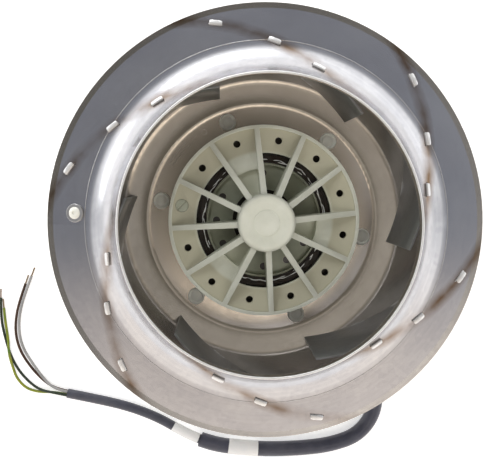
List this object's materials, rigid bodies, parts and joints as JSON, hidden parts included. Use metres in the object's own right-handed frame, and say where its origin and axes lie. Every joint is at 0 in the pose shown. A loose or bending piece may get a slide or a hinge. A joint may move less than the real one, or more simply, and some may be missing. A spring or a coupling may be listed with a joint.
{
  "type": "cooling fan",
  "caption": "Motorised centrifugal impeller with backward-curved sheet-metal blades around a ribbed external-rotor motor, with a flared inlet ring and a free supply cable.",
  "frame": {"origin": "centre of the stator flange's mounting face, on the rotor axis", "axes": "+Z along the rotor axis, from the mounting face towards the air inlet"},
  "size_m": [0.3321, 0.3183, 0.135],
  "materials": {
    "galvanised_sheet": "galvanised steel sheet, satin, with soft streaks along the press lines",
    "housing_moulding": "pale greenish ivory glass-filled moulding, semi-matt",
    "rivet_steel": "zinc plated, slightly dull",
    "zinc_steel": "zinc plated",
    "lamination_steel": "stacked electrical steel, lightly oiled",
    "cast_aluminium": "die cast, satin",
    "bright_steel": "ground",
    "spring_steel": "blued spring steel",
    "bearing_steel": "ground and polished",
    "winding": "varnished copper winding, black bound overhang",
    "insulator_plastic": "greenish grey moulding",
    "black_plastic": "satin",
    "black_rubber": "matt",
    "cable_jacket": "smooth dark jacket, semi-gloss",
    "sleeve_plastic": "smooth dark sleeving, semi-gloss",
    "label_paper": "blank white wrap",
    "lead_dark_green": "insulated core",
    "lead_yellow_green": "insulated core",
    "lead_grey": "insulated core",
    "lead_brown": "insulated core",
    "tinned_copper": "stranded bare copper"
  },
  "bodies": {
    "stator": {"front_bearing_outer_ring": "bearing_steel", "rear_bearing_outer_ring": "bearing_steel", "preload_spring": "spring_steel", "stator_core": "lamination_steel", "stator_winding": "winding", "front_insulator": "insulator_plastic", "rear_insulator": "insulator_plastic", "stator_flange": "cast_aluminium", "terminal_cover": "black_plastic", "cover_screws": "zinc_steel", "cable_gland": "black_rubber", "cable": "cable_jacket", "cable_sleeve": "sleeve_plastic", "sleeve_label": "label_paper", "cable_label": "label_paper", "lead_1": "lead_dark_green", "lead_2": "lead_yellow_green", "lead_3": "lead_grey", "lead_4": "lead_brown", "lead_tips": "tinned_copper"},
    "rotor": {"shroud": "galvanised_sheet", "back_plate": "galvanised_sheet", "blade_1": "galvanised_sheet", "blade_2": "galvanised_sheet", "blade_3": "galvanised_sheet", "blade_4": "galvanised_sheet", "blade_5": "galvanised_sheet", "blade_6": "galvanised_sheet", "rotor_housing": "housing_moulding", "balance_screw": "housing_moulding", "impeller_rivets": "rivet_steel", "balance_washer": "zinc_steel", "balance_rivet": "rivet_steel", "rotor_core": "lamination_steel", "rotor_cage": "cast_aluminium", "shaft": "bright_steel", "shaft_clip": "spring_steel", "front_bearing_inner_ring": "bearing_steel", "rear_bearing_inner_ring": "bearing_steel"}
  },
  "joints": [
    {"name": "rotor_spin", "type": "hinge", "parent": "stator", "child": "rotor", "pos_m": [0, 0, 0.03], "axis": [0, 0, 1], "continuous": true}
  ]
}
